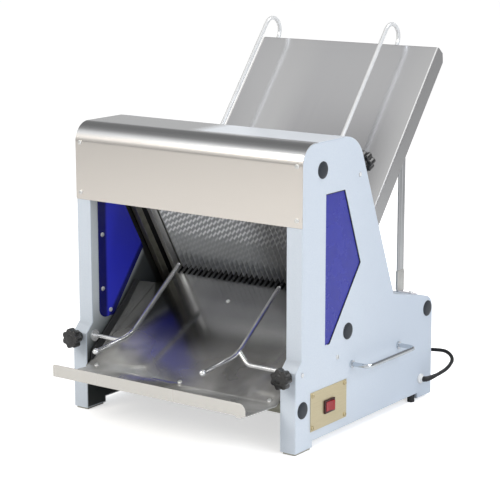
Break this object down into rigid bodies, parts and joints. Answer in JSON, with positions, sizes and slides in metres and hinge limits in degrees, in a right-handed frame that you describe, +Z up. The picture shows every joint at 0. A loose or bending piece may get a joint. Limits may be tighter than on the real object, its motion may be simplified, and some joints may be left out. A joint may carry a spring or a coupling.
{
  "type": "countertop bread slicer",
  "caption": "Countertop bread slicer with a sloped infeed tray, two interleaved reciprocating blade frames and an outfeed tray between painted side housings.",
  "frame": {"origin": "middle of the footprint, on the floor under the feet", "axes": "+Z up, -Y to the outfeed front, +X to the side with the switch"},
  "size_m": [0.58, 0.661, 0.7006],
  "materials": {
    "housing_paint": "satin",
    "wall_paint": "satin",
    "blue_paint": "satin",
    "cover_steel": "brushed",
    "tray_steel": "brushed",
    "bar_steel": "satin",
    "blade_steel": "polished",
    "rod_chrome": "polished",
    "cast": "satin",
    "brass_plate": "brushed",
    "knob_plastic": "gloss",
    "plug_plastic": "matte",
    "switch_plastic": "gloss",
    "rocker_plastic": "gloss",
    "gland_plastic": "matte",
    "rubber": "matte",
    "nylon": "matte",
    "motor_paint": "satin"
  },
  "bodies": {
    "body": {"housing_left": "housing_paint", "housing_right": "housing_paint", "wall_left": "wall_paint", "wall_right": "wall_paint", "window_left": "blue_paint", "window_right": "blue_paint", "guard_left": "blue_paint", "guard_right": "blue_paint", "cover": "cover_steel", "tie_top": "bar_steel", "tie_front": "bar_steel", "tie_slope": "bar_steel", "base": "bar_steel", "rear_cover": "housing_paint", "rear_guard": "housing_paint", "outfeed_tray": "tray_steel", "infeed_tray": "tray_steel", "tray_brackets": "bar_steel", "struts": "tray_steel", "rails_left": "bar_steel", "rails_right": "bar_steel", "rail_blocks": "cast", "belt": "rubber", "bearings": "cast", "motor": "motor_paint", "infeed_bushes": "nylon", "handle_left": "rod_chrome", "handle_right": "rod_chrome", "switch_plate": "brass_plate", "switch_body": "switch_plastic", "plugs_left": "plug_plastic", "plugs_right": "plug_plastic", "feet": "rubber", "screws": "rod_chrome", "gland": "gland_plastic", "cord": "rubber", "cord_coil": "rubber", "cord_plug": "rubber"},
    "front_blades": {"frame_front": "bar_steel", "blades_front": "blade_steel"},
    "rear_blades": {"frame_rear": "bar_steel", "blades_rear": "blade_steel"},
    "crank": {"crankshaft": "bar_steel", "pulley_main": "cast"},
    "rotor": {"motor_shaft": "bar_steel", "pulley_motor": "cast"},
    "front_conrod": {"conrod_front": "bar_steel"},
    "rear_conrod": {"conrod_rear": "bar_steel"},
    "left_infeed_guide": {"infeed_guide_left": "rod_chrome"},
    "right_infeed_guide": {"infeed_guide_right": "rod_chrome"},
    "left_bush": {"outfeed_bush_left": "rod_chrome"},
    "right_bush": {"outfeed_bush_right": "rod_chrome"},
    "left_fork": {"outfeed_fork_left": "rod_chrome"},
    "right_fork": {"outfeed_fork_right": "rod_chrome"},
    "front_left_knob": {"knob_front_left": "knob_plastic"},
    "front_right_knob": {"knob_front_right": "knob_plastic"},
    "rear_left_knob": {"knob_rear_left": "knob_plastic"},
    "rear_right_knob": {"knob_rear_right": "knob_plastic"},
    "switch_rocker": {"rocker": "rocker_plastic"}
  },
  "joints": [
    {"name": "front_blade_slide", "type": "slide", "parent": "body", "child": "front_blades", "axis": [0, -0.5075, 0.8616], "range_m": [-0.01, 0.01]},
    {"name": "rear_blade_slide", "type": "slide", "parent": "body", "child": "rear_blades", "axis": [0, -0.5075, 0.8616], "range_m": [-0.01, 0.01]},
    {"name": "crank_spin", "type": "hinge", "parent": "body", "child": "crank", "pos_m": [0, 0.09302, 0.10876], "axis": [1, 0, 0], "continuous": true},
    {"name": "motor_spin", "type": "hinge", "parent": "body", "child": "rotor", "pos_m": [0, 0.16701, 0.08176], "axis": [1, 0, 0], "continuous": true},
    {"name": "front_conrod_swing", "type": "hinge", "parent": "front_blades", "child": "front_conrod", "pos_m": [-0.1393, 0.03772, 0.16323], "axis": [1, 0, 0], "range_deg": [0, 14.2]},
    {"name": "rear_conrod_swing", "type": "hinge", "parent": "rear_blades", "child": "rear_conrod", "pos_m": [0.1393, 0.07218, 0.18353], "axis": [1, 0, 0], "range_deg": [-14.2, 0]},
    {"name": "left_infeed_slide", "type": "slide", "parent": "body", "child": "left_infeed_guide", "axis": [-1, 0, 0], "range_m": [-0.018, 0.02]},
    {"name": "right_infeed_slide", "type": "slide", "parent": "body", "child": "right_infeed_guide", "axis": [1, 0, 0], "range_m": [-0.018, 0.08]},
    {"name": "left_fork_swing", "type": "hinge", "parent": "body", "child": "left_bush", "pos_m": [-0.234, -0.21312, 0.14061], "axis": [1, 0, 0], "range_deg": [-15, 25]},
    {"name": "right_fork_swing", "type": "hinge", "parent": "body", "child": "right_bush", "pos_m": [0.234, -0.21312, 0.14061], "axis": [1, 0, 0], "range_deg": [-15, 25]},
    {"name": "left_fork_slide", "type": "slide", "parent": "left_bush", "child": "left_fork", "axis": [-1, 0, 0], "range_m": [-0.018, 0.045]},
    {"name": "right_fork_slide", "type": "slide", "parent": "right_bush", "child": "right_fork", "axis": [1, 0, 0], "range_m": [-0.018, 0.065]},
    {"name": "front_left_knob_turn", "type": "hinge", "parent": "body", "child": "front_left_knob", "pos_m": [-0.234, -0.23312, 0.14061], "axis": [0, -1, 0], "range_deg": [0, 270]},
    {"name": "front_right_knob_turn", "type": "hinge", "parent": "body", "child": "front_right_knob", "pos_m": [0.234, -0.23312, 0.14061], "axis": [0, -1, 0], "range_deg": [0, 270]},
    {"name": "rear_left_knob_turn", "type": "hinge", "parent": "body", "child": "rear_left_knob", "pos_m": [-0.234, -0.03612, 0.464], "axis": [0, 0.9254, 0.379], "range_deg": [0, 270]},
    {"name": "rear_right_knob_turn", "type": "hinge", "parent": "body", "child": "rear_right_knob", "pos_m": [0.234, -0.03612, 0.464], "axis": [0, 0.9254, 0.379], "range_deg": [0, 270]},
    {"name": "rocker_tilt", "type": "hinge", "parent": "body", "child": "switch_rocker", "pos_m": [0.2485, -0.13212, 0.068], "axis": [0, 0, 1], "range_deg": [0, 16]}
  ],
  "couplings": [
    {"joint": "rear_blade_slide", "follows": "front_blade_slide", "ratio": -1},
    {"joint": "motor_spin", "follows": "crank_spin", "ratio": 2.8868}
  ]
}
